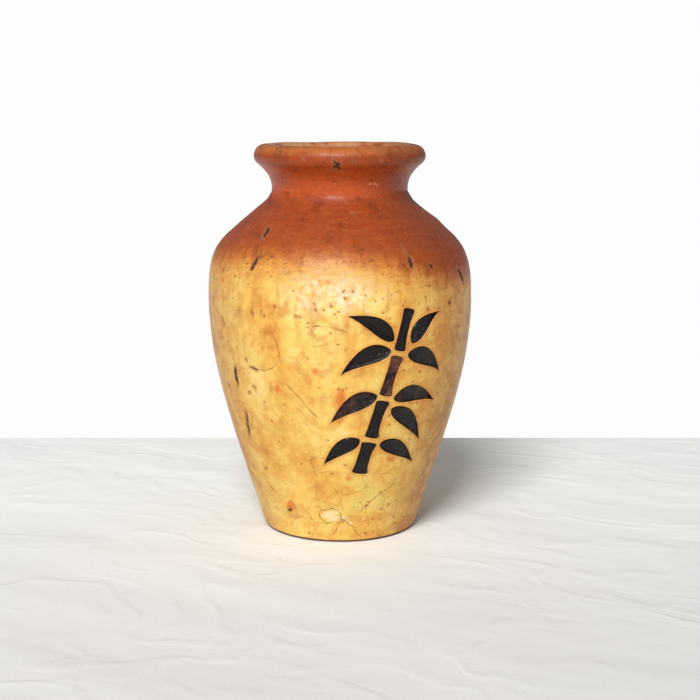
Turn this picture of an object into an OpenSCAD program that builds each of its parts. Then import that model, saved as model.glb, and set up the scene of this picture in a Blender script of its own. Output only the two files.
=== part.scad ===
// Stoneware sake bottle with a wide rolled lip. It is built as a potter builds it: a slab foot,
// two thrown walls, a thrown neck and a rolled lip, luted together on bevelled joints. A glaze
// lines it, an amber glaze covers the belly and an iron glaze covers the shoulder, neck and lip.
// A bamboo spray is carved into the belly, and each of its strokes holds its own black inlay.
// Millimetres, +Z up, origin at the centre of the foot, front of the bottle towards -Y.

/* [Body] */
// Height from the foot to the top of the lip
body_h = 160; // [159:0.5:162]
// Outer radius at the foot
foot_r = 32; // [30:0.5:34]
// Outer radius at the widest part of the belly
belly_r = 54.8; // [53:0.1:56]
// Height of the widest part of the belly
belly_z = 98; // [96:1:100]
// Thickness of the belly wall
wall_t = 5.5; // [4.5:0.5:6.5]
// Thickness of the floor
floor_t = 7; // [6:0.5:8]

/* [Shoulder and neck] */
// Radius where the shoulder turns into the neck
turn_r = 44; // [43:0.5:45]
// Height where the shoulder turns into the neck
turn_z = 126; // [125:0.5:127]
// Outer radius at the narrowest part of the neck
neck_r = 28.1; // [27.5:0.1:29]
// Height of the narrowest part of the neck
neck_z = 142.3; // [142:0.1:143]
// Radius of the straight throat inside the neck
throat_r = 23; // [21:0.5:23.5]

/* [Lip] */
// Outer radius of the rolled lip
lip_r = 35.4; // [35:0.1:36.5]
// Height of the widest part of the lip
lip_z = 155.2; // [155:0.1:155.6]
// Radius of the crest of the lip
crest_r = 30.2; // [29.5:0.1:31]

/* [Glaze] */
// Thickness of every glaze coat
glaze_t = 0.5; // [0.3:0.1:0.6]
// Height at which the glaze stops above the foot
glaze_line = 1.2; // [0.8:0.1:3]
// Height at which the iron glaze meets the amber glaze
dip_z = 117; // [113:1:121]

/* [Carving] */
// Angle of the carving's centre, from the front towards +X
motif_turn = 22; // [0:1:40]
// Depth of the carved strokes below the glazed surface
carve_t = 1.6; // [1.2:0.1:2]
// Thickness of the black inlay on the floor of each stroke
inlay_t = 0.9; // [0.5:0.1:1.1]

/* [Hidden] */
$fn = 96;

// Joints between the thrown sections, each [height outside, height inside].
floor_joint = floor_t - glaze_t;
belly_joint = [112, 108];
neck_joint = [130, 127.5];
lip_joint = [150.5, 153.5];
mouth_z = 150;           // the lining stops and the iron glaze begins inside the mouth
throat_z = [138, 147];   // straight stretch of the throat
foot_chamfer = 0.8;
hollow_r = 22;           // turned hollow under the foot
hollow_t = 1.4;
floor_r = 20;            // flat part of the floor

// Each outline runs through knots that cubic curves join. A knot is [point, direction,
// reach of the curve's handle before it, reach after it, steps since the last knot].
outside_knots = [
    [[foot_r, 0], [0.32, 1], 0, 49, 0],
    [[belly_r, belly_z], [0, 1], 28, 18, 14],
    [[turn_r, turn_z], [-1.15, 1], 6, 11, 9],
    [[neck_r, neck_z], [0, 1], 4.3, 1, 9],
    [[33.6, 152], [1.33, 1], 4.2, 1.05, 9],
    [[lip_r, lip_z], [0, 1], 1.05, 2.6, 4],
    [[crest_r, body_h], [-1, 0], 3.4, 0, 7]];
inside_knots = [
    [[floor_r, floor_t], [1, 0], 0, 6, 0],
    [[30.2, 15], [0.32, 1], 5, 40, 5],
    [[belly_r - wall_t, belly_z], [0, 1], 28, 15, 12],
    [[turn_r - wall_t, turn_z - 3.5], [-1.15, 1], 6, 8, 9],
    [[throat_r, throat_z[0]], [0, 1], 4, 0, 7],
    [[throat_r, throat_z[1]], [0, 1], 0, 3, 1],
    [[25.2, mouth_z + 4], [0.28, 1], 3, 3.5, 4],
    [[crest_r, body_h], [1, 0], 2.4, 0, 6]];

function cubic(a, b, c, d, t) =
    pow(1 - t, 3) * a + 3 * pow(1 - t, 2) * t * b + 3 * (1 - t) * t * t * c + pow(t, 3) * d;
function through(knots) = concat([knots[0][0]],
    [for (i = [1:len(knots) - 1])
        let (a = knots[i - 1], b = knots[i])
            for (k = [1:b[4]])
                cubic(a[0], a[0] + a[3] * a[1], b[0] - b[2] * b[1], b[0], k / b[4])]);
function flip(path) = [for (p = path) [p[1], p[0]]];
function reverse(path) = [for (i = [len(path) - 1:-1:0]) path[i]];
function last(path) = path[len(path) - 1];

// Finished surfaces: the outside from the foot, and the lining from the edge of the flat
// floor, both up to the crest of the lip.
outside = through(outside_knots);
lining = through(inside_knots);

// A path moved sideways by d: side 1 moves it to its left, and side -1 to its right.
function heading(path, i) =
    let (a = path[max(i - 1, 0)], b = path[min(i + 1, len(path) - 1)]) (b - a) / norm(b - a);
function moved(path, d, side) =
    [for (i = [0:len(path) - 1])
        let (h = heading(path, i), far = i == len(path) - 1)
            path[i] + d * (far ? [0, -1] : side * [-h[1], h[0]])];
function below_skin(d) = moved(outside, d, 1);
function behind_lining(d) = moved(lining, d, -1);

// The stretch of a path between two heights, with its ends exactly there.
function at(path, z) = [lookup(z, flip(path)), z];
function part(path, lo, hi) =
    concat([at(path, lo)], [for (p = path) if (p[1] > lo && p[1] < hi) p], [at(path, hi)]);
function above(path, lo) = concat([at(path, lo)], [for (p = path) if (p[1] > lo) p]);
function under(path, hi) = concat([for (p = path) if (p[1] < hi) p], [at(path, hi)]);

clay_outside = below_skin(glaze_t);
clay_inside = behind_lining(glaze_t);

module turned(outline) {
    rotate_extrude() polygon(outline);
}

// A thrown ring between two joints, each [height outside, height inside].
module thrown(lower, upper) {
    turned(concat(part(clay_outside, lower[0], upper[0]),
                  reverse(part(clay_inside, lower[1], upper[1]))));
}

// A layer that follows the outside surface, between two depths under it.
module layer(outer_depth, inner_depth, lo, hi) {
    turned(concat(part(below_skin(outer_depth), lo, hi),
                  reverse(part(below_skin(inner_depth), lo, hi))));
}

/* Carving: a bamboo spray. Each stroke is
   [name, kind, start, end, bow, width], in millimetres across and up the belly. */
motif_z = [28, 104];
strokes = [
    ["culm_1", "culm", [-8, 31.5], [-5.4, 45], 0.4, 6.8],
    ["culm_2", "culm", [-5, 47], [-1.6, 62.5], 0.5, 6.2],
    ["culm_3", "culm", [-1.1, 64.5], [3, 80.5], 0.5, 5.8],
    ["culm_4", "culm", [3.6, 82.5], [7.6, 99], 0.4, 5.4],
    ["leaf_1", "leaf", [1, 87], [-17, 97], -1.8, 6.4],
    ["leaf_2", "leaf", [-0.2, 83], [-19, 74], -2.4, 7.2],
    ["leaf_3", "leaf", [8.8, 85.5], [22, 96.5], 1.8, 6.4],
    ["leaf_4", "leaf", [7.6, 81.2], [24, 72], 2.2, 7],
    ["leaf_5", "leaf", [-4.7, 65], [-21, 54], -2.2, 7.2],
    ["leaf_6", "leaf", [2.8, 63.4], [22.5, 60], 2.6, 7],
    ["leaf_7", "leaf", [2.2, 59], [17.5, 43.5], 2, 6.8],
    ["leaf_8", "leaf", [-9.8, 46.6], [-21.5, 36], -1.6, 6.4],
    ["leaf_9", "leaf", [-1, 44.4], [15.5, 34], 1.8, 6.4]];
stroke_steps = 12;

// Half width along a stroke, for t from 0 to 1. A culm has blunt flared ends, and a leaf
// swells near its stem and runs out to a long tip.
function culm_width(t) =
    let (s = abs(2 * t - 1)) 0.5 * (0.74 + 0.42 * pow(s, 4)) * pow(1 - pow(s, 14), 0.4);
function leaf_width(t) = 0.5 * sin(180 * pow(t, 0.62));
function stroke_point(a, b, bow, t, half) =
    let (along = b - a, side = [-along[1], along[0]] / norm(along))
        a + along * t + side * (bow * 4 * t * (1 - t) + half);
function stroke_outline(s) =
    let (n = stroke_steps,
         ts = [for (i = [0:n]) (1 - cos(180 * i / n)) / 2],
         half = [for (t = ts) s[5] * (s[1] == "culm" ? culm_width(t) : leaf_width(t))])
        concat([for (i = [0:n]) stroke_point(s[2], s[3], s[4], ts[i], half[i])],
               [for (i = [n - 1:-1:1]) stroke_point(s[2], s[3], s[4], ts[i], -half[i])]);

// A stroke's outline driven straight into the belly, over its whole depth.
module driven(s) {
    rotate([0, 0, motif_turn])
        rotate([90, 0, 0])
            translate([0, 0, belly_r / 3])
                linear_extrude(belly_r) polygon(stroke_outline(s));
}

module foot_disc() {
    color("peru") difference() {
        turned(concat([[0, 0], [foot_r - glaze_t - foot_chamfer, 0]],
                      part(clay_outside, foot_chamfer, floor_joint),
                      [[0, floor_joint]]));
        translate([0, 0, -1]) cylinder(r = hollow_r, h = hollow_t + 1);
    }
}

module lower_wall() {
    color("peru") difference() {
        turned(concat(part(clay_outside, floor_joint, belly_joint[0]),
                      [at(clay_inside, belly_joint[1])],
                      reverse([for (p = clay_inside) if (p[1] < belly_joint[1]) p])));
        for (s = strokes) intersection() {
            driven(s);
            layer(-1, carve_t, motif_z[0], motif_z[1]);
        }
    }
}

module shoulder() {
    color("peru") thrown(belly_joint, neck_joint);
}

module neck_collar() {
    color("peru") thrown(neck_joint, lip_joint);
}

module rolled_lip() {
    color("peru") turned(concat(above(clay_outside, lip_joint[0]),
                                reverse([for (p = above(clay_inside, lip_joint[1]))
                                    if (p != last(clay_inside)) p])));
}

module amber_glaze() {
    color("goldenrod") difference() {
        layer(0, glaze_t, glaze_line, dip_z);
        for (s = strokes) driven(s);
    }
}

module iron_glaze() {
    color("sienna") turned(concat(
        above(outside, dip_z),
        reverse([for (p = above(lining, mouth_z)) if (p != last(lining)) p]),
        [for (p = above(clay_inside, mouth_z)) if (p != last(clay_inside)) p],
        reverse(above(clay_outside, dip_z))));
}

module inner_glaze() {
    color("chocolate") turned(concat([[0, floor_t]], under(lining, mouth_z),
                                     reverse(under(clay_inside, mouth_z)), [[0, floor_joint]]));
}

module inlay(s) {
    color("black") intersection() {
        driven(s);
        layer(carve_t - inlay_t, carve_t, motif_z[0], motif_z[1]);
    }
}

foot_disc();
lower_wall();
shoulder();
neck_collar();
rolled_lip();
amber_glaze();
iron_glaze();
inner_glaze();
for (s = strokes)
    inlay(s);
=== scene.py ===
from math import cos, pi, radians, sin, sqrt, tau

import bpy
import numpy as np
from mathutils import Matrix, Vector


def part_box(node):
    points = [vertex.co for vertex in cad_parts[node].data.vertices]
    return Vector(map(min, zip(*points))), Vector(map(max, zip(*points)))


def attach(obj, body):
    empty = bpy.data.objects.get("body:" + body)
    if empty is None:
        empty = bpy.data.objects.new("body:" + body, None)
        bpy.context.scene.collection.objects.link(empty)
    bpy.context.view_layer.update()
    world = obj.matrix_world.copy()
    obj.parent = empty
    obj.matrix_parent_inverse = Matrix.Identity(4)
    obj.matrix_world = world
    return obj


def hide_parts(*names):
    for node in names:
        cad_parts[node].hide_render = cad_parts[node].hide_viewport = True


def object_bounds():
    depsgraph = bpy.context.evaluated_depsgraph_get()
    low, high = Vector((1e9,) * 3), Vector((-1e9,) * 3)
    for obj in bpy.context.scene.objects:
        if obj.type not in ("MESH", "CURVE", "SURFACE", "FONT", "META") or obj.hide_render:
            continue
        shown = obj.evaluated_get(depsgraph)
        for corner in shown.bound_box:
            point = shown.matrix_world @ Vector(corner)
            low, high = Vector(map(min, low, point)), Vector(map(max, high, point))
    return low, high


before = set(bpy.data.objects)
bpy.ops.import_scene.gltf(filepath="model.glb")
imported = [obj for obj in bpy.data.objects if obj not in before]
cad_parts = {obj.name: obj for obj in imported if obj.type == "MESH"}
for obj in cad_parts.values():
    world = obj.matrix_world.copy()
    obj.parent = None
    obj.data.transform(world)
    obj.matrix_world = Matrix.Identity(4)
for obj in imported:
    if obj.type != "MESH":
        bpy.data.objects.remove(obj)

SOLIDS_BOX = [list(corner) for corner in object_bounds()]


# ---- The table, the light and the camera ------------------------------------------------
# A white ground with a pale cloth laid on it, a large soft lamp over the left shoulder of
# the camera, a weaker one at its right, and a bright room all round.
def deselect():
    if bpy.context.object and bpy.context.object.mode != "OBJECT":
        bpy.ops.object.mode_set(mode="OBJECT")
    bpy.ops.object.select_all(action="DESELECT")


def on_circle(azimuth, radius, height):
    """The point at an azimuth in degrees, 0 at the front and growing towards +X."""
    return radius * sin(radians(azimuth)), -radius * cos(radians(azimuth)), height


class Flow:
    """A number, colour or vector flowing through a material. Arithmetic adds Math nodes."""

    def __init__(self, tree, socket=None):
        self.tree, self.socket = tree, socket

    def node(self, kind, inputs=(), settings=(), output=0):
        made = self.tree.nodes.new("ShaderNode" + kind)
        for name, value in dict(settings).items():
            if name == "stops":
                while len(made.color_ramp.elements) < len(value):
                    made.color_ramp.elements.new(0.5)
                for element, (place, colour) in zip(made.color_ramp.elements, value):
                    element.position, element.color = place, (*colour, 1)
            else:
                setattr(made, name, value)
        for name, value in dict(inputs).items():
            if isinstance(value, Flow):
                self.tree.links.new(value.socket, made.inputs[name])
            else:
                made.inputs[name].default_value = value
        return Flow(self.tree, made.outputs[output])

    def math(self, operation, first, second=0.0):
        return self.node("Math", {0: first, 1: second}, {"operation": operation})

    def __add__(self, other):
        return self.math("ADD", self, other)

    def __sub__(self, other):
        return self.math("SUBTRACT", self, other)

    def __rsub__(self, other):
        return self.math("SUBTRACT", other, self)

    def __mul__(self, other):
        return self.math("MULTIPLY", self, other)

    def __abs__(self):
        return self.math("ABSOLUTE", self)

    __radd__, __rmul__ = __add__, __mul__

    def larger(self, other):
        return self.math("MAXIMUM", self, other)

    def rise(self, low, high, bottom=0.0, top=1.0):
        """A smooth step from bottom to top as this goes from low to high."""
        return self.node("MapRange", {0: self, 1: low, 2: high, 3: bottom, 4: top},
                         {"interpolation_type": "SMOOTHSTEP"})

    def paint(self, over, where):
        """This colour with another one over it where the mask says."""
        over = (*over, 1) if isinstance(over, tuple) else over
        return self.node("Mix", {0: where, 6: self, 7: over}, {"data_type": "RGBA"}, 2)

    def stretched(self, *scale):
        return self.node("VectorMath", {0: self, 1: scale}, {"operation": "MULTIPLY"})

    def pushed(self, by, amount):
        """This vector moved about by a colour noise."""
        moved = by.node("VectorMath", {0: by, 1: (0.5, 0.5, 0.5)}, {"operation": "SUBTRACT"})
        moved = moved.node("VectorMath", {0: moved, "Scale": amount}, {"operation": "SCALE"})
        return self.node("VectorMath", {0: self, 1: moved}, {"operation": "ADD"})

    def noise(self, size, detail=3.0, rough=0.5, seed=0.0, output=0):
        """Noise whose blobs are about size across, in metres."""
        return self.node("TexNoise", {"Vector": self, "W": seed, "Scale": 1 / size,
                                      "Detail": detail, "Roughness": rough},
                         {"noise_dimensions": "4D"}, output)

    def cells(self, size, feature="F1", output=0):
        """Cells about size across, in metres: how far it is to a middle or to an edge."""
        return self.node("TexVoronoi", {"Vector": self, "Scale": 1 / size},
                         {"feature": feature}, output)


def new_finish(name):
    """A new material, its shader and its Object coordinates."""
    material = bpy.data.materials.new(name)
    material.use_nodes = True
    tree = material.node_tree
    place = Flow(tree).node("TexCoord", output=3)
    return material, tree.nodes["Principled BSDF"], place


def wire(shader, **flows):
    """Sets sockets of the shader: a flow is linked and a number is set on the socket."""
    for name, value in flows.items():
        socket = shader.inputs[name.replace("_", " ")]
        if isinstance(value, Flow):
            value.tree.links.new(value.socket, socket)
        else:
            socket.default_value = value


def relief(height, depth, under=None):
    """A bump, depth metres high where height goes from 0 to 1, over another bump."""
    inputs = {"Height": height, "Distance": depth, "Strength": 1.0}
    if under:
        inputs["Normal"] = under
    return height.node("Bump", inputs)


def cloth():
    material, shader, place = new_finish("table_cloth")
    weave = place.stretched(1, 1, 0).noise(0.0012, 2)
    turned = place.node("VectorRotate", {"Vector": place, "Angle": 0.5})
    folds = turned.stretched(0.35, 1, 0).noise(0.05, 2.5, 0.45)
    creases = turned.stretched(0.5, 1, 0).pushed(place.noise(0.09, 2, output=1), 0.12).noise(0.035, 2)
    creases = abs(creases - 0.5).rise(0, 0.09, 1, 0)
    far = place.node("SeparateXYZ", {0: place}, output=1)
    tint = weave.node("Mix", {0: folds, 6: (0.66, 0.645, 0.63, 1), 7: (0.74, 0.73, 0.72, 1)},
                      {"data_type": "RGBA"}, 2)
    # Painted light: the cloth is made lighter towards its back edge.
    tint = tint.paint((0.93, 0.94, 0.92), far.rise(-0.2, 0.11))
    wire(shader, Base_Color=tint, Roughness=0.9,
         Normal=relief(creases, 0.00022, relief(folds, 0.0035, relief(weave, 0.0001))))
    return material


backdrop_white = 0.98


def ground():
    material, shader, _ = new_finish("white_ground")
    wire(shader, Base_Color=(0, 0, 0, 1), Roughness=1.0, Specular_IOR_Level=0.0,
         Emission_Color=(1, 1, 1, 1), Emission_Strength=backdrop_white)
    return material


cloth_back = 0.1446
cloth_reach = 0.9
for name, size, centre, drop, paint in (
        ("ground", 9.0, (0, 0), 0.0015, ground()),
        ("cloth", 2 * cloth_reach, (0, cloth_back - cloth_reach), 0.0, cloth())):
    bpy.ops.mesh.primitive_plane_add(size=size, location=(*centre, -drop))
    bpy.context.object.name = name
    bpy.context.object.data.materials.append(paint)
    bpy.ops.object.transform_apply(location=True)

lamp_aim = Vector((0, 0, 0.09))
for name, azimuth, distance, height, size, power in (
        ("key_lamp", -15, 1.60, 1.55, 0.80, 50.0),
        ("fill_lamp", 30, 1.15, 0.35, 0.70, 0.4)):
    bpy.ops.object.light_add(type="AREA", location=on_circle(azimuth, distance, height))
    lamp = bpy.context.object
    lamp.name = name
    lamp.data.size, lamp.data.energy = size, power
    lamp.rotation_euler = (lamp_aim - lamp.location).to_track_quat("-Z", "Y").to_euler()

# The room lights the pot softly, and is seen as white as the ground.
room_light = 0.27
room = bpy.data.worlds.new("room")
room.use_nodes = True
backdrop = room.node_tree.nodes["Background"]
backdrop.inputs["Color"].default_value = (1, 1, 1, 1)
backdrop.inputs["Strength"].default_value = room_light
seen = Flow(room.node_tree).node("LightPath")
strength = seen.rise(0, 1, room_light, backdrop_white)
room.node_tree.links.new(strength.socket, backdrop.inputs["Strength"])
bpy.context.scene.world = room
bpy.context.scene.view_settings.view_transform = "Standard"

camera_data = bpy.data.cameras.new("camera")
camera_data.sensor_width = 36.0
camera_data.lens = 71.8
camera = bpy.data.objects.new("camera", camera_data)
camera.location = (0.0042, -0.5792, 0.1802)
camera_dip = 10.38
camera.rotation_euler = (radians(90 - camera_dip), 0, 0)
bpy.context.collection.objects.link(camera)
bpy.context.scene.camera = camera


# ---- The clay body ----------------------------------------------------------------------
# Iron-bearing stoneware clay, in five sections thrown or rolled and luted together. The
# glaze hides it except under the foot and on the walls of the carved strokes.
def clay():
    material, shader, place = new_finish("stoneware_clay")
    grit = place.noise(0.0009, 4, 0.65)
    smoke = place.noise(0.018, 3, seed=3.0)
    specks = place.cells(0.0021).rise(0.12, 0.22, 1, 0)
    tint = smoke.node("ValToRGB", {0: smoke}, {"stops": [
        (0.25, (0.115, 0.055, 0.028)), (0.55, (0.235, 0.125, 0.062)), (0.8, (0.34, 0.21, 0.115))]})
    tint = tint.paint((0.05, 0.026, 0.016), specks * 0.6)
    wire(shader, Base_Color=tint, Roughness=grit.rise(0.2, 0.8, 0.72, 0.95),
         Normal=relief(grit, 0.0003))
    return material


bare_clay = clay()
for node in ("lower_wall", "shoulder", "neck_collar", "rolled_lip"):
    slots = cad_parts[node].data.materials
    for i in range(len(slots)):
        slots[i] = bare_clay

# The thrown shapes are cubic curves through knots, as the solids are. A knot is [point,
# direction, reach of the curve's handle before it, reach after it], in millimetres.
MM = 0.001
low, high = SOLIDS_BOX
body_h = (high[2] - low[2]) / MM
belly_r = (high[0] - low[0]) / 2 / MM
seam_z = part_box("iron_glaze")[0].z / MM
glaze_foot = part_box("amber_glaze")[0].z / MM
mouth_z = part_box("inner_glaze")[1].z / MM
glaze_t = 0.5
outside_knots = [
    [(32, 0), (0.32, 1), 0, 49],
    [(belly_r, 98), (0, 1), 28, 18],
    [(44, 126), (-1.15, 1), 6, 11],
    [(28.1, 142.3), (0, 1), 4.3, 1],
    [(33.6, 152), (1.33, 1), 4.2, 1.05],
    [(35.4, 155.2), (0, 1), 1.05, 2.6],
    [(30.2, body_h), (-1, 0), 3.4, 0]]
inside_knots = [
    [(20, 7), (1, 0), 0, 6],
    [(30.2, 15), (0.32, 1), 5, 40],
    [(belly_r - 5.5, 98), (0, 1), 28, 15],
    [(38.5, 122.5), (-1.15, 1), 6, 8],
    [(23, 138), (0, 1), 4, 0],
    [(23, 147), (0, 1), 0, 3],
    [(25.2, 154), (0.28, 1), 3, 3.5],
    [(30.2, body_h), (1, 0), 2.4, 0]]


def through(knots, pitch):
    """Points along the curve through the knots, pitch millimetres apart."""
    t = np.linspace(0, 1, 400)[:, None]
    fine = []
    for (a, a_way, _, a_reach), (b, b_way, b_reach, _) in zip(knots, knots[1:]):
        a, b = np.array(a, float), np.array(b, float)
        c, d = a + a_reach * np.array(a_way), b - b_reach * np.array(b_way)
        fine.append((1 - t) ** 3 * a + 3 * (1 - t) ** 2 * t * c
                    + 3 * (1 - t) * t * t * d + t ** 3 * b)
    fine = np.vstack(fine)
    run = np.append(0, np.cumsum(np.hypot(*np.diff(fine, axis=0).T)))
    even = np.linspace(0, run[-1], max(2, round(run[-1] / pitch)) + 1)
    return np.column_stack([np.interp(even, run, fine[:, k]) for k in (0, 1)])


def cut(path, lo, hi):
    """The stretch of a rising path between two heights, with its ends exactly there."""
    ends = [(np.interp(z, path[:, 1], path[:, 0]), z) for z in (lo, hi)]
    inner = path[(path[:, 1] > lo + 0.05) & (path[:, 1] < hi - 0.05)]
    return np.vstack([ends[:1], inner, ends[1:]])


def inset(path, depth):
    """A rising path moved to its left, towards the axis of a pot's outside."""
    way = np.gradient(path, axis=0)
    way /= np.hypot(*way.T)[:, None]
    return path + depth * np.column_stack([-way[:, 1], way[:, 0]])


fine_outside = through(outside_knots, 0.25)


def outside_r(z):
    return np.interp(z, fine_outside[:, 1], fine_outside[:, 0])


def thrown(name, section, sectors, ripple=None):
    """Spins a closed section round the axis. Sectors are (degrees, degrees per step)."""
    deselect()
    bpy.ops.mesh.primitive_circle_add(vertices=len(section), fill_type="NOTHING")
    piece = bpy.context.object
    piece.name = piece.data.name = name
    start = -sectors[0][0] / 2
    for vertex, (r, z) in zip(piece.data.vertices, section):
        vertex.co = on_circle(start, r * MM, z * MM)
    bpy.ops.object.mode_set(mode="EDIT")
    bpy.ops.mesh.select_all(action="SELECT")
    for span, step in sectors:
        bpy.ops.mesh.spin(steps=round(span / step), angle=radians(span), center=(0, 0, 0),
                          axis=(0, 0, 1))
    bpy.ops.mesh.select_all(action="SELECT")
    bpy.ops.mesh.remove_doubles(threshold=0.00002)
    bpy.ops.mesh.delete_loose(use_verts=True, use_edges=True, use_faces=False)
    bpy.ops.mesh.select_all(action="SELECT")
    bpy.ops.mesh.normals_make_consistent(inside=False)
    bpy.ops.object.mode_set(mode="OBJECT")
    if ripple:
        reshape(piece, ripple)
    return piece


def reshape(piece, move):
    """Moves a piece's vertices: move takes and gives azimuth in degrees, r and z in mm."""
    co = np.empty(len(piece.data.vertices) * 3)
    piece.data.vertices.foreach_get("co", co)
    x, y, z = co.reshape(-1, 3).T / MM
    azimuth, r, z = move(np.degrees(np.arctan2(x, -y)), np.hypot(x, y), z)
    turn = np.radians(azimuth)
    co = np.column_stack([r * np.sin(turn), -r * np.cos(turn), z]) * MM
    piece.data.vertices.foreach_set("co", co.ravel())
    piece.data.update()


def smooth(piece, angle=40):
    deselect()
    piece.select_set(True)
    bpy.context.view_layer.objects.active = piece
    bpy.ops.object.shade_smooth_by_angle(angle=radians(angle))


def hand_in(piece, material, slot, *nodes):
    """Gives a finished piece its material and its body. The slot is not used."""
    piece.data.materials.clear()
    piece.data.materials.append(material)
    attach(piece, "root")
    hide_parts(*nodes)


# The foot is a flat slab, trimmed on the wheel: a shallow hollow with tool rings under it,
# and a soft bare edge that the glaze stops short of. Sizes are in millimetres.
foot_top = glaze_foot + 5.3
hollow_r, hollow_t = 22.0, 1.4
bare_r = 31.5


def trim_rings(azimuth, r, z):
    low_side = z < hollow_t + 0.6
    ring = 0.09 * np.sin(tau * (r / 2.6 + azimuth / 360)) + 0.05 * np.sin(tau * r / 0.9 + 1)
    return azimuth, r, z + np.where(low_side & (r < hollow_r - 0.5), ring - 0.05, 0)


foot_section = np.vstack([
    [(0.0, hollow_t)],
    [(r, hollow_t) for r in np.arange(0.5, hollow_r - 0.9, 0.5)],
    [(hollow_r - 0.5, hollow_t - 0.1), (hollow_r - 0.15, hollow_t - 0.35),
     (hollow_r, 0.5), (hollow_r + 0.15, 0.15), (hollow_r + 0.5, 0)],
    [(r, 0) for r in np.arange(hollow_r + 1, bare_r - 1, 0.5)],
    [(bare_r - 0.7, 0.0), (bare_r - 0.3, 0.12), (bare_r + 0.05, 0.45), (bare_r + 0.2, 0.9)],
    inset(cut(fine_outside, glaze_foot, foot_top), glaze_t)[::4],
    [(20, foot_top), (0, foot_top)]])
foot = thrown("foot_slab", foot_section, [(360, 2)], trim_rings)
smooth(foot, 50)
hand_in(foot, bare_clay, "clay", "foot_disc")


# ---- The glaze inside -------------------------------------------------------------------
# A thin iron glaze poured in and swilled round, over the spiral that the potter's fingers
# left. It stops just under the mouth, where the outer iron glaze takes over.
ribs_from, ribs_to, ribs_fade = 12, 132, 6
rib_pitch, coil_pitch = 6.5, 4.5


def finger_spiral(azimuth, r, z):
    on_wall = (z > ribs_from) & (z < ribs_to)
    rib = 0.16 * (1 + np.sin(tau * (z / rib_pitch - azimuth / 360)))
    rib = rib * np.clip((z - ribs_from) / ribs_fade, 0, 1)
    rib = rib * np.clip((ribs_to - z) / ribs_fade, 0, 1)
    on_floor = (z < 8) & (r < 22) & (z > 6.8)
    coil = 0.12 * (1 + np.sin(tau * (r / coil_pitch - azimuth / 360))) * np.clip(r / 3, 0, 1)
    return azimuth, r - np.where(on_wall, rib, 0), z + np.where(on_floor, coil, 0)


def lining_glaze():
    material, shader, place = new_finish("lining_glaze")
    pool = place.noise(0.02, 4)
    fine = place.noise(0.0016, 3, seed=2.0)
    tint = pool.node("ValToRGB", {0: pool}, {"stops": [
        (0.3, (0.17, 0.062, 0.018)), (0.55, (0.33, 0.145, 0.045)), (0.75, (0.47, 0.25, 0.085))]})
    tint = tint.paint((0.09, 0.035, 0.015), fine.rise(0.62, 0.75) * 0.6)
    wire(shader, Base_Color=tint, Roughness=fine.rise(0.3, 0.7, 0.22, 0.4),
         Normal=relief(fine, 0.00012))
    return material


lining_face = cut(through(inside_knots, 0.9), 7, mouth_z)
lining_back = inset(through(inside_knots, 6), -glaze_t)
lining_back = lining_back[(lining_back[:, 1] > 8) & (lining_back[:, 1] < mouth_z - 1)]
lining_section = np.vstack([
    [(r, 7) for r in np.arange(0, 19.5, 1.0)], lining_face,
    [(lining_face[-1][0] + glaze_t, mouth_z)], lining_back[::-1],
    [(25, 6.6), (20, 6.5), (0, 6.5)]])
lining = thrown("lining_coat", lining_section, [(360, 2.25)], finger_spiral)
smooth(lining)
hand_in(lining, lining_glaze(), "inner_glaze", "inner_glaze")


# ---- The carved bamboo spray ------------------------------------------------------------
# Each stroke is cut with a knife straight into the belly: blunt, flared pieces of stem and
# pointed leaves. A stroke is (name, start, end, bow, width), in millimetres on the belly.
spray_turn = 22
strokes = [
    ("culm_1", (-8, 31.5), (-5.4, 45), 0.4, 6.8),
    ("culm_2", (-5, 47), (-1.6, 62.5), 0.5, 6.2),
    ("culm_3", (-1.1, 64.5), (3, 80.5), 0.5, 5.8),
    ("culm_4", (3.6, 82.5), (7.6, 99), 0.4, 5.4),
    ("leaf_1", (1, 87), (-17, 97), -1.8, 6.4),
    ("leaf_2", (-0.2, 83), (-19, 74), -2.4, 7.2),
    ("leaf_3", (8.8, 85.5), (22, 96.5), 1.8, 6.4),
    ("leaf_4", (7.6, 81.2), (24, 72), 2.2, 7),
    ("leaf_5", (-4.7, 65), (-21, 54), -2.2, 7.2),
    ("leaf_6", (2.8, 63.4), (22.5, 60), 2.6, 7),
    ("leaf_7", (2.2, 59), (17.5, 43.5), 2, 6.8),
    ("leaf_8", (-9.8, 46.6), (-21.5, 36), -1.6, 6.4),
    ("leaf_9", (-1, 44.4), (15.5, 34), 1.8, 6.4)]


def on_stroke(stroke, t, s, grow=0.0, least=0.0):
    """A place in the drawing: t runs along the stroke, and s from -1 to 1 across it."""
    name, start, end, bow, width = stroke
    start, way = np.array(start, float), np.subtract(end, start).astype(float)
    ahead = way / np.hypot(*way)
    side = np.array([-ahead[1], ahead[0]])
    u = abs(2 * t - 1)
    if name.startswith("culm"):
        half = 0.5 * (0.74 + 0.42 * u ** 4) * (1 - u ** 14) ** 0.4
    else:
        half = 0.5 * sin(pi * t ** 0.62)
    half = max(least, width * half + grow * sqrt(max(0.0, 1 - u ** 6)))
    return start + way * t + ahead * grow * (2 * t - 1) + side * (bow * 4 * t * (1 - t) + half * s)


def onto_belly(place, depth):
    """A place in the drawing driven straight back onto the belly: azimuth, r and z."""
    across, z = place
    r = outside_r(z) - depth
    return spray_turn + np.degrees(np.arcsin(across / r)), r, z


def eased(t):
    """Even steps made closer together towards both ends."""
    return (1 - cos(pi * t)) / 2


def woven(name, columns, rows, place):
    """A grid whose vertices are moved to place(share across, share up), in metres."""
    deselect()
    bpy.ops.mesh.primitive_grid_add(x_subdivisions=columns, y_subdivisions=rows, size=2)
    piece = bpy.context.object
    piece.name = piece.data.name = name
    for vertex in piece.data.vertices:
        vertex.co = place((vertex.co.x + 1) / 2, (vertex.co.y + 1) / 2)
    bpy.ops.object.mode_set(mode="EDIT")
    bpy.ops.mesh.select_all(action="SELECT")
    return piece


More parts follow.
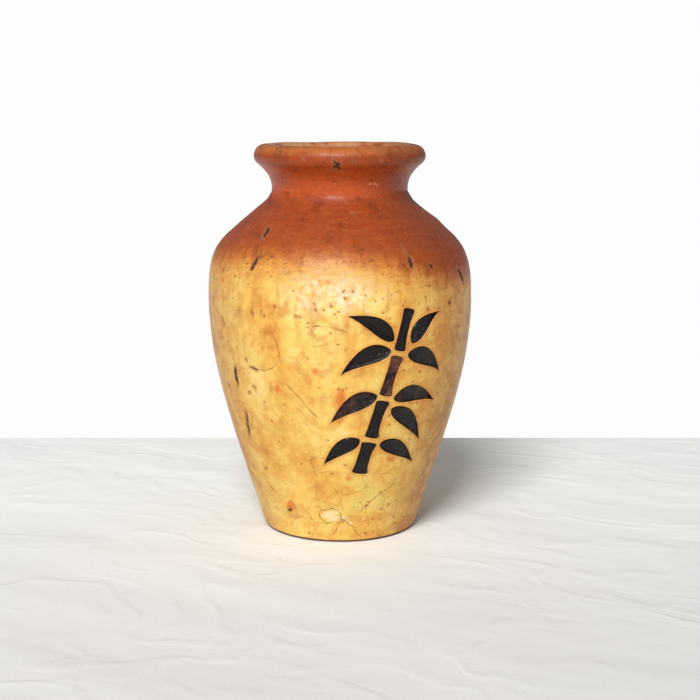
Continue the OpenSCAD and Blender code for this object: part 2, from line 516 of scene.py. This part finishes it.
# The knife's cut through the glaze, from over the surface down: (depth, how much wider
# than the stroke, side), so that each cut has a softly broken upper edge. It starts and
# ends on the stroke's middle line, where the side is 0.
knife_edge = [(-0.9, 0.75, 0), (-0.9, 0.75, 1), (-0.25, 0.5, 1), (0.0, 0.32, 1), (0.1, 0.2, 1),
              (0.22, 0.09, 1), (0.4, 0.02, 1), (1.1, 0.0, 1), (1.1, 0.0, 0)]
knife_steps = 56


def knife(stroke):
    def place(share, up):
        depth, grow, side = knife_edge[round(up * (len(knife_edge) - 1))]
        half_way = share <= 0.5
        t = eased(2 * share if half_way else 2 - 2 * share)
        azimuth, r, z = onto_belly(on_stroke(stroke, t, side if half_way else -side, grow), depth)
        return on_circle(azimuth, r * MM, z * MM)

    piece = woven("knife_" + stroke[0], knife_steps, len(knife_edge) - 1, place)
    bpy.ops.mesh.remove_doubles(threshold=0.000004)
    bpy.ops.mesh.normals_make_consistent(inside=False)
    bpy.ops.object.mode_set(mode="OBJECT")
    return piece


# ---- The amber glaze --------------------------------------------------------------------
# A thick yellow-brown ash glaze from just over the foot to the shoulder, cut through by the
# carving. Gashes, pits, chips and hair cracks are pressed into it or drawn on it.
def unevenness(azimuth, z):
    """How far the thrown surface stands out of true, in millimetres."""
    turn = np.radians(azimuth)
    lean = 0.09 * np.sin(2 * turn + 0.9) + 0.06 * np.sin(3 * turn + z / 19)
    rings = 0.024 * np.sin(tau * z / 5.3 + 0.5 * np.sin(turn)) + 0.012 * np.sin(tau * z / 2.3 + turn)
    dents = 0.05 * np.sin(5 * turn + z / 7) * np.sin(z / 5.1 + 2 * turn)
    bump = 0.45 * np.exp(-((z - 129.5) / 2.2) ** 2 - ((azimuth - 86) / 24) ** 2)
    return lean + rings + dents + bump


# Each mark is (half width in mm, points of (degrees round, height in mm)). Distances to
# the marks are counted up to mark_reach, in millimetres.
gashes = [
    (1.05, (-43.2, 129), (-42, 126.4), (-40.8, 124.6)),
    (0.95, (-38.4, 118.2), (-39, 115.4), (-40.4, 112.6)), (0.4, (30.2, 123), (31.4, 119.6)),
    (0.95, (31.4, 119.6), (32.4, 114)), (0.8, (42, 115.4), (43.4, 113.2)),
    (1.0, (60.6, 112.4), (63.6, 110.2), (67.5, 104.6)),
    (0.95, (-51.8, 74), (-53, 70), (-52.6, 65)), (0.75, (-50.6, 55.4), (-52, 50), (-53.8, 43)),
    (0.95, (-35.8, 12.6), (-33.2, 13.6)), (0.75, (-4.2, 155.4), (-1.6, 153.4), (1.6, 150.6)),
    (0.6, (1.2, 154.2), (-4.4, 151.8)), (0.35, (9.2, 155.4), (9.8, 153.8)),
    (0.3, (-24, 156), (-22.6, 155.2)), (0.3, (27, 155), (28.2, 154.4)),
    (0.4, (-46.6, 153.4), (-45, 152.6)), (0.45, (-31.4, 65.6), (-31, 67.4)),
    (0.4, (-41.6, 66.8), (-39.8, 65.8)), (0.55, (-41.6, 74.6), (-37.4, 73.6)),
    (0.4, (-38.8, 97.6), (-37.8, 95.4)), (0.45, (-33.8, 98), (-31.8, 95.4)),
    (0.4, (-17.8, 96.9), (-15.4, 96.3)), (0.5, (-59.8, 93), (-57.6, 90)),
    (0.35, (8, 134.8), (9.4, 134)), (0.6, (52, 100.5), (53.5, 98)), (0.5, (-47, 30), (-45.8, 31)),
    (0.45, (-62, 66), (-61.5, 62)), (0.8, (120, 84), (124, 80)), (0.9, (168, 121), (166, 114)),
    (0.7, (-118, 60), (-119.5, 52)), (0.7, (-142, 104), (-138, 102)), (0.6, (148, 42), (149, 36)),
    (0.7, (-96, 118), (-97, 112)), (0.8, (98, 30), (101, 28)), (0.5, (176, 66), (180, 64))]
stains = [
    (1.5, (-59, 109), (-58.2, 106.6)), (1.1, (-28.8, 90.4), (-28, 88.6)),
    (1.3, (-10.6, 76.2), (-9.2, 74.6)), (1.8, (-29.4, 67.6), (-26.6, 66.4)),
    (1.9, (0.2, 69), (0.8, 62), (0.2, 53.6)), (1.2, (5, 30.8), (5, 28.4)),
    (2.0, (-34, 12.6), (-30.6, 17.4)), (1.0, (-4.5, 110.2), (-4.4, 109.4)),
    (0.9, (-1, 103), (-1, 102)), (1.5, (26, 38), (30, 36)), (1.2, (141, 88), (142, 82)),
    (1.3, (-150, 68), (-149.4, 63)), (1.3, (104, 52), (105, 48)), (1.4, (-105, 95), (-104, 91))]
chips = [
    (1.5, (-10.6, 11.6), (-7.4, 13.2), (-3.6, 13.8)),
    (1.3, (-7.6, 10.4), (-3, 11.4), (-0.6, 12.2)), (0.9, (-4, 15), (-1, 13.6)),
    (0.9, (1, 12.2), (4, 11)), (0.7, (6.4, 9.8), (8.6, 8.4)),
    (0.55, (-4.5, 109.9), (-4.3, 109.8)), (0.45, (-1, 102.6), (-0.9, 102.5)),
    (0.4, (24.8, 146), (25.6, 144.8)), (0.35, (28.4, 146.2), (29, 145)),
    (0.4, (31.2, 145.6), (32, 144.8)), (1.2, (160, 12), (166, 10))]
hair_cracks = [
    (0.13, (-13, 92.4), (-10, 93.2), (-7, 93.2), (-2, 92.6), (3, 91)),
    (0.12, (-28.5, 89.5), (-26.4, 86), (-25.3, 82), (-26, 78), (-29, 75.4), (-33.5, 74), (-42, 74.4)),
    (0.2, (-22.5, 68.4), (-19.8, 66), (-16.5, 62.8), (-13.6, 59.2), (-10.2, 56.6)),
    (0.1, (-16, 39), (-8, 38.3), (0.5, 37.6)), (0.08, (-16.2, 44), (-15, 37), (-12.8, 30.6)),
    (0.16, (-40.8, 124.6), (-39.6, 121), (-38.4, 118.2)),
    (0.14, (-13.4, 12.4), (-12, 14.8), (-8, 15.2), (-5, 16.2), (-1.6, 15), (0.8, 13.6), (1.2, 10.4),
     (-2, 9.4), (-5, 10), (-8, 8.8), (-11.4, 10), (-13.4, 12.4)),
    (0.16, (1.2, 10.4), (-1.2, 7.8), (-2.4, 5.6), (-5, 3.6)),
    (0.14, (1.2, 10.4), (4, 10.2), (6.4, 8.4), (9.4, 7.4), (11.4, 4.6), (15, 2.6)),
    (0.1, (2.4, 10.2), (5, 12.6), (8, 12.2)),
    (0.12, (14, 15), (17, 18.2), (20, 18.8), (25, 22), (34, 25.2)),
    (0.1, (17, 18.2), (16.6, 14.6), (18.6, 11), (20, 8.4)),
    (0.09, (22, 31), (26, 30.4), (30, 32.2)), (0.1, (25, 22), (29, 19), (28, 15)),
    (0.1, (-2, 24), (0.4, 20), (-1.4, 17)), (0.15, (100, 76), (108, 70), (118, 71), (124, 64)),
    (0.15, (-90, 30), (-98, 36), (-110, 35)), (0.15, (150, 100), (160, 96), (172, 98)),
    (0.15, (-160, 30), (-150, 24), (-148, 14))]
mark_reach = 5.0
surface_step = 0.6
glaze_skin = 0.45


def to_line(points, azimuth, z):
    """How far each vertex is from a line of marks, on which side of it, and how far along."""
    middle = np.mean(points, axis=0)
    arm = outside_r(middle[1]) * pi / 180
    off_round = (azimuth - middle[0] + 180) % 360 - 180
    x, y = off_round * arm, z - middle[1]
    knots = [np.array(((p[0] - middle[0]) * arm, p[1] - middle[1])) for p in points]
    lengths = [np.hypot(*(b - a)) for a, b in zip(knots, knots[1:])]
    away, side, share = np.full(x.shape, 99.0), np.zeros(x.shape), np.zeros(x.shape)
    run = 0.0
    for a, b, length in zip(knots, knots[1:], lengths):
        way = (b - a) / length
        ahead = (x - a[0]) * way[0] + (y - a[1]) * way[1]
        across = (y - a[1]) * way[0] - (x - a[0]) * way[1]
        held = np.clip(ahead, 0, length)
        gap = np.hypot(across, ahead - held)
        nearer = gap < away
        away = np.where(nearer, gap, away)
        side = np.where(nearer, np.sign(across) * gap, side)
        share = np.where(nearer, (run + held) / sum(lengths), share)
        run += length
    return away, side, share


def mark_depth(marks, azimuth, z):
    """Signed distance to the edge of the nearest mark in millimetres, negative inside it."""
    edge = np.full(azimuth.shape, mark_reach)
    for half, *points in marks:
        away, _, share = to_line(points, azimuth, z)
        taper = half * (1 - 0.75 * abs(2 * share - 1) ** 2.5)
        edge = np.minimum(edge, away - taper)
    return edge


def crack_lines(azimuth, z):
    """Signed distance to the nearest hair crack, and its half width where it is near."""
    near = np.full(azimuth.shape, 99.0)
    line = np.full(azimuth.shape, 9.0)
    width = np.zeros(azimuth.shape)
    for half, *points in hair_cracks:
        away, side, share = to_line(points, azimuth, z)
        closer = away < near
        near = np.where(closer, away, near)
        line = np.where(closer, side, line)
        width = np.where(closer, np.where(away < 2 * surface_step, half, 0), width)
    return line, width


def stroke_edge(azimuth, z):
    """Signed distance to the edge of the nearest carved stroke in millimetres."""
    turn = np.radians(azimuth - spray_turn)
    x, y = outside_r(z) * np.sin(turn), z
    edge = np.full(x.shape, mark_reach)
    around = (np.cos(turn) > 0.5) & (z > 25) & (z < 106)
    for stroke in strokes:
        ring = [on_stroke(stroke, eased(i / 30), 1) for i in range(31)]
        ring += [on_stroke(stroke, eased(i / 30), -1) for i in range(29, 0, -1)]
        ring = np.array(ring)
        px, py = x[around], y[around]
        best, inside = np.full(px.shape, 99.0), np.zeros(px.shape, bool)
        for a, b in zip(ring, np.roll(ring, -1, axis=0)):
            way = b - a
            t = np.clip(((px - a[0]) * way[0] + (py - a[1]) * way[1]) / (way @ way), 0, 1)
            best = np.minimum(best, np.hypot(px - a[0] - t * way[0], py - a[1] - t * way[1]))
            crosses = (a[1] > py) != (b[1] > py)
            if crosses.any():
                inside ^= crosses & (px < a[0] + (py - a[1]) * way[0] / (way[1] or 1e-9))
        edge[around] = np.minimum(edge[around], np.where(inside, -best, best))
    return edge


def press(azimuth, r, z):
    """The thrown surface made uneven, with the gashes and chips pressed into it."""
    true_r = outside_r(z)
    slope = (outside_r(z + 0.3) - outside_r(z - 0.3)) / 0.6
    level = 1 / np.sqrt(1 + slope * slope)
    skin = np.clip(1 - (true_r - r) * level / glaze_skin, 0, 1) * np.clip((body_h - z) / 3, 0, 1)
    gash = mark_depth(gashes, azimuth, z)
    chip = mark_depth(chips, azimuth, z)
    sunk = 0.42 * np.clip(0.45 - gash, 0, 0.9) + 0.16 * np.clip(0.3 - chip, 0, 0.6)
    out = np.clip(unevenness(azimuth, z) - sunk, -0.4, 0.6) * skin
    return azimuth, r + out * level, z - out * level * slope


def score(piece):
    """Writes each vertex's distances to the marks where the glaze's colours read them."""
    co = np.empty(len(piece.data.vertices) * 3)
    piece.data.vertices.foreach_get("co", co)
    x, y, z = co.reshape(-1, 3).T / MM
    azimuth = np.degrees(np.arctan2(x, -y))
    line, width = crack_lines(azimuth, z)
    layers = {"gash": mark_depth(gashes, azimuth, z), "stain": mark_depth(stains, azimuth, z),
              "chip": mark_depth(chips, azimuth, z), "crack": line, "crack_width": width,
              "carved": stroke_edge(azimuth, z)}
    for name, values in layers.items():
        layer = piece.data.attributes.new(name, "FLOAT", "POINT")
        layer.data.foreach_set("value", values.astype(np.float32))


# The height of the iron glaze's edge in millimetres, and the glazes' colours.
iron_edge = 117.6
iron_stops = [
    (0.0, (0.80, 0.49, 0.115)), (0.3, (0.72, 0.34, 0.065)), (0.52, (0.52, 0.17, 0.030)),
    (0.75, (0.34, 0.070, 0.013)), (1.0, (0.29, 0.042, 0.009))]
amber_stops = [
    (0.37, (0.66, 0.28, 0.050)), (0.45, (0.78, 0.42, 0.080)), (0.52, (0.85, 0.55, 0.125)),
    (0.63, (0.90, 0.68, 0.25))]
# The colour of the painted highlight on the upper front of the belly.
highlight_cream = (0.95, 0.79, 0.56)
green_veil = (0.70, 0.57, 0.13)
orange_stain = (0.66, 0.15, 0.025)
broken_cream = (0.90, 0.70, 0.40)
gash_brown = (0.34, 0.12, 0.045)
gash_black = (0.035, 0.017, 0.012)
cut_brown = (0.16, 0.055, 0.022)


def dipped_glaze(name):
    """Amber ash glaze below and iron glaze above, running into each other."""
    material, shader, place = new_finish(name)

    def drawn(layer):
        return place.node("Attribute", settings={"attribute_name": layer}, output=2)

    x, y, z = [place.node("SeparateXYZ", {0: place}, output=i) for i in range(3)]
    height = z * 1000
    turn = place.math("ARCTAN2", x, y * -1) * (180 / pi)

    # Where one glaze gives way to the other: a soft uneven line, lower on the right.
    patch = place.noise(0.03, 3)
    runs = place.stretched(1, 1, 0.12).noise(0.0035, 3, 0.6)
    bands = place.stretched(0.12, 0.12, 1).noise(0.0012, 3, 0.6)
    grain = place.noise(0.0011, 4, 0.65)
    right = turn.rise(8, 62) * turn.rise(176, 105)
    left = turn.rise(-28, -70) * turn.rise(-176, -105)
    meeting = iron_edge - right * 10.5 - left * 3 + (patch - 0.5) * 9
    meeting = meeting + (runs - 0.5) * 9
    over = height - meeting
    iron_depth = (over + (bands - 0.5) * 3).rise(-13, 13)
    iron = over.node("ValToRGB", {0: iron_depth}, {"stops": iron_stops})
    tops = bands.rise(0.3, 0.75)
    inside = x.math("POWER", x * x + y * y, 0.5).rise(0.0285, 0.031, 1, 0) * height.rise(149, 152)
    high_tint = iron.paint((0.42, 0.10, 0.020), tops * 0.4)
    dark = place.noise(0.009, 5, 0.6, seed=5.0)
    smoke = place.noise(0.008, 4, 0.6, seed=14.0)
    high_tint = high_tint.paint((0.15, 0.026, 0.008), dark.rise(0.5, 0.72) * 0.6)
    red_neck = height.rise(138, 143) * height.rise(156, 150)
    high_tint = high_tint.paint((0.53, 0.085, 0.014), red_neck * 0.75)
    thin_crest = dark.rise(0.35, 0.55) * height.rise(155.5, 158.5)
    high_tint = high_tint.paint((0.52, 0.17, 0.038), thin_crest * 0.6)
    sooty_crest = smoke.rise(0.52, 0.64) * height.rise(153, 158)
    high_tint = high_tint.paint((0.16, 0.05, 0.018), sooty_crest * 0.65)
    high_tint = high_tint.paint((0.13, 0.028, 0.010), grain.rise(0.53, 0.68) * 0.5)
    smut = place.pushed(place.noise(0.003, 3, output=1), 0.004).noise(0.0042, 5, 0.7, seed=8.0)
    high_tint = high_tint.paint((0.11, 0.024, 0.009), smut.rise(0.54, 0.68) * 0.6)
    high_tint = high_tint.paint((0.50, 0.13, 0.028), smut.rise(0.46, 0.34) * 0.3)

    # The amber: cream where it is thick, ochre and orange where it is thin, greenish veils.
    pools = place.stretched(1, 1, 0.6).noise(0.017, 4, 0.55, seed=1.0)
    clouds = place.noise(0.006, 4, 0.6, seed=2.0)
    fine = place.noise(0.0023, 4, 0.65, seed=3.0)
    amber_depth = pools * 0.5 + clouds * 0.3 + fine * 0.2
    amber = pools.node("ValToRGB", {0: amber_depth}, {"stops": amber_stops})
    amber = amber.paint(green_veil, place.noise(0.013, 4, seed=7.0).rise(0.52, 0.68) * 0.55)
    streaks = runs.rise(0.48, 0.66) * (height - 62).rise(0, 50)
    amber = amber.paint((0.55, 0.20, 0.040), streaks * (0.55 + left * 0.3))
    # Painted shade: the amber is darkened towards its left and right sides, most on the right and
    # higher up on the left.
    side = right * right * 0.85 + left * (0.3 + (height - 40).rise(0, 60) * 0.4)
    amber = amber.paint((0.46, 0.185, 0.045), side * (0.62 + clouds.rise(0.58, 0.42) * 0.38))
    # Orange-brown mottling, stronger towards the shoulder.
    mottle_noise = place.pushed(place.noise(0.004, 3, output=1), 0.004).noise(0.0065, 5, 0.65, seed=12.0)
    mottle_mask = mottle_noise.rise(0.5, 0.64) * (0.3 + height.rise(50, 112) * 0.32)
    amber = amber.paint((0.52, 0.18, 0.035), mottle_mask)
    # A painted highlight: a patch of pale cream on the upper front of the belly.
    highlight_spot = abs(turn + 3).rise(3, 27, 1, 0) * abs(height - 107.5).rise(1, 13, 1, 0)
    amber = amber.paint(highlight_cream, highlight_spot * fine.rise(0.36, 0.58) * 0.8)
    # A painted highlight: the inner rim of the mouth made pale tan, in patches.
    high_tint = high_tint.paint((0.62, 0.40, 0.21), inside * smoke.rise(0.66, 0.34) * 0.55)
    tint = amber.paint(high_tint, over.rise(-16, 2))
    # Painted shade: the right side of the shoulder and neck darkened.
    right_shade = right * height.rise(96, 130)
    tint = tint.paint((0.17, 0.040, 0.013), right_shade * 0.5)

    # Iron specks and burst bubbles, most of them in loose drifts.
    drift = place.noise(0.014, 2, seed=11.0) + right * 0.12 + height.rise(80, 118) * 0.1
    jitter = place.pushed(place.noise(0.0013, 3, output=1), 0.0026)
    speck_pitch, blot_pitch = 0.0029, 0.0115
    specks = jitter.cells(speck_pitch)
    few = jitter.node("SeparateColor", {0: jitter.cells(speck_pitch, output=1)}).rise(0.4, 0.5)
    speck = specks.rise(0.1, 0.27, 1, 0) * few * drift.rise(0.42, 0.6)
    blots = jitter.cells(blot_pitch)
    blot_few = jitter.node("SeparateColor", {0: jitter.cells(blot_pitch, output=1)})
    blot_few = blot_few.rise(0.5, 0.55)
    blot = blots.rise(0.03, 0.12, 1, 0) * blot_few
    tint = tint.paint((0.36, 0.10, 0.022), speck * 0.8)
    tint = tint.paint((0.40, 0.095, 0.02), blot * 0.8)

    # A net of fine veins in places, most of it low on the right.
    warped = place.pushed(place.noise(0.008, 3, output=1), 0.006)
    below = 1 - over.rise(-14, -6)
    veins = warped.cells(0.0085, "DISTANCE_TO_EDGE").rise(0.005, 0.04, 1, 0)
    net = place.noise(0.012, 3, seed=4.0) + (40 - height).rise(0, 30) * 0.1 + right * 0.05
    vein = veins * net.rise(0.52, 0.68) * below
    tint = tint.paint((0.50, 0.19, 0.045), vein * 0.5)
    craze = warped.cells(0.0034, "DISTANCE_TO_EDGE").rise(0.01, 0.07, 1, 0)
    craze = craze * place.noise(0.01, 2).rise(0.45, 0.6)
    tint = tint.paint((0.55, 0.24, 0.06), craze * below * 0.22)

    # The marks pressed and drawn, with ragged edges.
    ragged = (grain - 0.5) * 1.6 + (place.noise(0.0024, 3) - 0.5) * 2.2
    stain = (drawn("stain") + ragged * 1.2).rise(-1.0, 1.0, 1, 0)
    tint = tint.paint(orange_stain, stain * 0.75)
    chip = (drawn("chip") + ragged * 0.9).rise(-0.3, 0.2, 1, 0)
    tint = tint.paint(broken_cream, chip * (0.25 + below * 0.55))
    line = abs(drawn("crack") + (place.noise(0.0015, 3, seed=9.0) - 0.5) * 0.7)
    crack = (line - drawn("crack_width")).rise(-0.05, 0.17, 1, 0) * drawn("crack_width").rise(0.0, 0.14)
    crack = crack * (0.45 + place.noise(0.004, 2, seed=10.0).rise(0.4, 0.6) * 0.55)
    tint = tint.paint((0.36, 0.13, 0.035), crack * 0.85)
    # The gashes: brown round them and near black in the middle.
    gash = drawn("gash") + ragged * 0.62
    gash_surround = gash.rise(-0.1, 1.3, 1, 0)
    tint = tint.paint(gash_brown, gash_surround * 0.62)
    hole = gash.rise(-0.3, 0.16, 1, 0)
    tint = tint.paint(gash_black, hole * 0.92)
    rim = (drawn("carved") + ragged * 0.9).rise(0.1, 1.9, 1, 0)
    tint = tint.paint((0.60, 0.20, 0.04), rim * 0.5)
    cut_wall = (drawn("carved") + ragged * 0.1).rise(-0.05, 0.16, 1, 0)
    tint = tint.paint(cut_brown, cut_wall * 0.85)

    rough = grain.rise(0.3, 0.7, 0.33, 0.5)
    rough = rough + chip * 0.2 + hole * 0.2 + vein * 0.1
    rough = rough - inside * 0.16
    peel = place.noise(0.0028, 3, 0.5, seed=6.0)
    bump = relief(peel, 0.00016, relief(bands, 0.00002, relief(fine, 0.00012)))
    bump = relief(1 - speck * 0.7 - blot, 0.00022, bump)
    bump = relief(1 - crack.larger(vein * 0.5), 0.00016, bump)
    bump = relief((drawn("carved") + ragged * 0.3).rise(0.1, 0.9, 1, 0), 0.00012, bump)
    wire(shader, Base_Color=tint, Roughness=rough, Normal=bump, Specular_IOR_Level=0.26)
    return material


def coat_back(lo, hi):
    """The hidden side of a coat, falling from one height to the other."""
    return cut(inset(through(outside_knots, 6), glaze_t), lo, hi)[::-1]


coat_sectors = [(176, 0.62), (184, 1.6)]
amber_section = np.vstack([
    cut(through(outside_knots, surface_step), glaze_foot, seam_z), coat_back(glaze_foot, seam_z)])
amber = thrown("amber_coat", amber_section, coat_sectors)
for stroke in strokes:
    blade = knife(stroke)
    deselect()
    amber.select_set(True)
    bpy.context.view_layer.objects.active = amber
    carve = amber.modifiers.new("carve", "BOOLEAN")
    carve.operation, carve.solver, carve.object = "DIFFERENCE", "EXACT", blade
    bpy.ops.object.modifier_apply(modifier="carve")
    bpy.data.objects.remove(blade)
reshape(amber, press)
score(amber)
smooth(amber)
hand_in(amber, dipped_glaze("amber_glaze"), "amber_glaze", "amber_glaze")


# ---- The iron glaze ---------------------------------------------------------------------
# A rust-brown glaze that the pot was dipped in upside down, over the shoulder, the neck and
# the rolled lip and a finger's width into the mouth. Its skin is drawn thin on the lip.
def settle(azimuth, r, z):
    azimuth, r, z = press(azimuth, r, z)
    wave = np.sin(np.radians(3 * azimuth + 40)) + 0.7 * np.sin(np.radians(7 * azimuth - 60))
    lift = np.clip((z - mouth_z) / 8, 0, 1) * (0.16 + 0.13 * wave)
    return azimuth, r, z + lift


crest = cut(through(outside_knots, surface_step), seam_z, body_h)
mouth = cut(through(inside_knots, surface_step), mouth_z, body_h)[:-1][::-1]
mouth_back = inset(cut(through(inside_knots, 2), mouth_z, body_h - 2), -glaze_t)
iron_section = np.vstack([crest, mouth, mouth_back, coat_back(seam_z, body_h - 2)])
iron = thrown("iron_coat", iron_section, coat_sectors, settle)
score(iron)
smooth(iron)
hand_in(iron, dipped_glaze("iron_glaze"), "iron_glaze", "iron_glaze")


# ---- The black filling ------------------------------------------------------------------
# Black glaze brushed into each stroke: it lies a little below the surface, climbs the cut
# walls, shows the hairs of the brush along the stroke and is worn brown on a few strokes,
# the brown standing partly for a painted reflection.
# Its depth under the surface, its climb up the walls and its thickness are in millimetres.
fill_depth, fill_climb, fill_t = 1.15, 0.72, 0.4
glare_worn_strokes = {"culm_3": 0.55, "leaf_5": 0.25, "leaf_6": 0.2}


def black_glaze(name, wear_glare_level):
    material, shader, place = new_finish(name)
    sweep = place.node("TexCoord", output=2)
    hairs = sweep.stretched(2.2, 26, 1).noise(1, 3, 0.6)
    lumps = place.noise(0.0035, 3)
    wear_glare_mask = (lumps * 0.5 + hairs * 0.5).rise(0.5 - 0.12 * wear_glare_level, 0.64 - 0.1 * wear_glare_level) * wear_glare_level
    tint = hairs.node("ValToRGB", {0: hairs}, {"stops": [
        (0.3, (0.003, 0.002, 0.002)), (0.62, (0.007, 0.004, 0.004)), (0.8, (0.05, 0.028, 0.02))]})
    # Reddish brown where the black is worn, standing partly for a painted reflection.
    tint = tint.paint((0.30, 0.10, 0.055), wear_glare_mask)
    wire(shader, Base_Color=tint, Roughness=lumps.rise(0.3, 0.7, 0.13, 0.27), Specular_IOR_Level=0.3,
         Normal=relief(lumps, 0.0006, relief(hairs, 0.0002)))
    return material


def fill(stroke):
    seed = strokes.index(stroke)

    def place(share, up):
        t, s = eased(share), 2 * up - 1
        middle = s - 0.22 * sin(5 * t + seed)
        climb = fill_climb * max(0.7 * min(1, abs(middle)) ** 2, s ** 8, (2 * share - 1) ** 14)
        sag = (0.07 * sin(11 * t + seed) + 0.05 * cos(8 * s + 3 * t + seed)) * (1 - s * s)
        azimuth, r, z = onto_belly(on_stroke(stroke, t, s, -0.06, 0.1), fill_depth - climb + sag)
        return on_circle(azimuth, (r + unevenness(azimuth, z)) * MM, z * MM)

    piece = woven(stroke[0] + "_fill", 64, 14, place)
    bpy.ops.mesh.normals_make_consistent(inside=False)
    bpy.ops.object.mode_set(mode="OBJECT")
    thick = piece.modifiers.new("thickness", "SOLIDIFY")
    thick.thickness, thick.offset = fill_t * MM, -1
    bpy.ops.object.modifier_apply(modifier="thickness")
    return piece


for stroke in strokes:
    name = stroke[0]
    piece = fill(stroke)
    smooth(piece, 60)
    hand_in(piece, black_glaze(name + "_black", glare_worn_strokes.get(name, 0.0)), "black_inlay", name)
